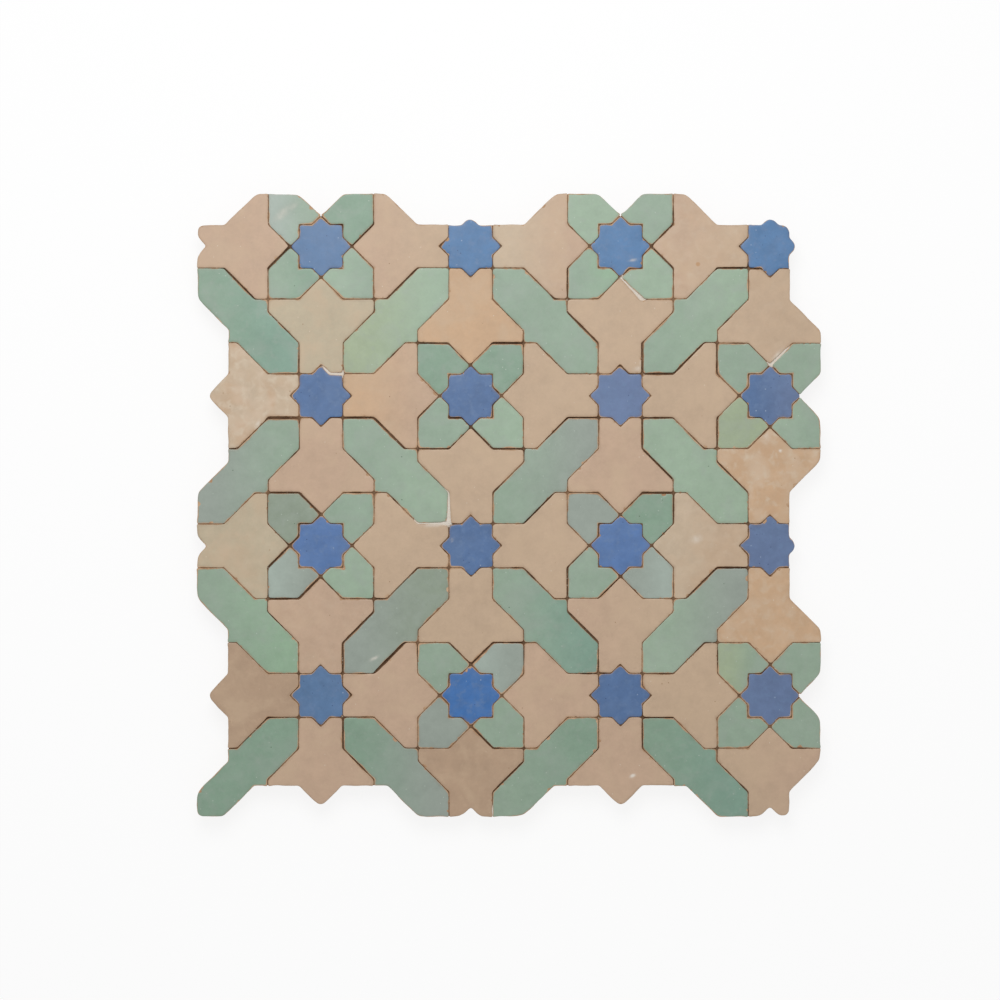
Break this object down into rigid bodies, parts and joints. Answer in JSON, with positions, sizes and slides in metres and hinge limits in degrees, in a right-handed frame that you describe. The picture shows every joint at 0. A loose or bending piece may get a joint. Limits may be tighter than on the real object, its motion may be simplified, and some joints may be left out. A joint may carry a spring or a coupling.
{
  "type": "zellige mosaic tile",
  "caption": "Square sheet of hand-cut zellige: blue stars, green petals and bars and sand arrows laid on a mortar bed, with a stepped border that locks into the next sheet.",
  "frame": {"origin": "middle of the flat back of the mortar bed, at the middle of the sheet's box", "axes": "+Z out of the glazed face, +Y towards the upper border as the picture shows it, +X towards its right border"},
  "size_m": [0.3136, 0.313, 0.013],
  "materials": {
    "blue_glaze": "cobalt glaze on clay",
    "green_glaze": "celadon glaze on clay",
    "sand_glaze": "satin clear glaze on sand-coloured clay",
    "lime_mortar": "rough pale lime mortar",
    "joint_mortar": "brown earth and lime mortar"
  },
  "bodies": {
    "root": {"star_1_1": "blue_glaze", "petals_1_1": "green_glaze", "arrows_1_1": "sand_glaze", "bar_1_1": "green_glaze", "star_1_2": "blue_glaze", "arrows_1_2": "sand_glaze", "bar_1_2": "green_glaze", "star_1_3": "blue_glaze", "petals_1_3": "green_glaze", "arrows_1_3": "sand_glaze", "bar_1_3": "green_glaze", "star_1_4": "blue_glaze", "arrows_1_4": "sand_glaze", "bar_1_4": "green_glaze", "star_2_1": "blue_glaze", "arrows_2_1": "sand_glaze", "bar_2_1": "green_glaze", "star_2_2": "blue_glaze", "petals_2_2": "green_glaze", "arrows_2_2": "sand_glaze", "bar_2_2": "green_glaze", "star_2_3": "blue_glaze", "arrows_2_3": "sand_glaze", "bar_2_3": "green_glaze", "star_2_4": "blue_glaze", "petals_2_4": "green_glaze", "arrows_2_4": "sand_glaze", "bar_2_4": "green_glaze", "star_3_1": "blue_glaze", "petals_3_1": "green_glaze", "arrows_3_1": "sand_glaze", "bar_3_1": "green_glaze", "star_3_2": "blue_glaze", "arrows_3_2": "sand_glaze", "bar_3_2": "green_glaze", "star_3_3": "blue_glaze", "petals_3_3": "green_glaze", "arrows_3_3": "sand_glaze", "bar_3_3": "green_glaze", "star_3_4": "blue_glaze", "arrows_3_4": "sand_glaze", "bar_3_4": "green_glaze", "star_4_1": "blue_glaze", "arrows_4_1": "sand_glaze", "bar_4_1": "green_glaze", "star_4_2": "blue_glaze", "petals_4_2": "green_glaze", "arrows_4_2": "sand_glaze", "bar_4_2": "green_glaze", "star_4_3": "blue_glaze", "arrows_4_3": "sand_glaze", "bar_4_3": "green_glaze", "star_4_4": "blue_glaze", "petals_4_4": "green_glaze", "arrows_4_4": "sand_glaze", "bar_4_4": "green_glaze", "mortar_bed": "lime_mortar", "joint_mortar": "joint_mortar"}
  },
  "joints": []
}
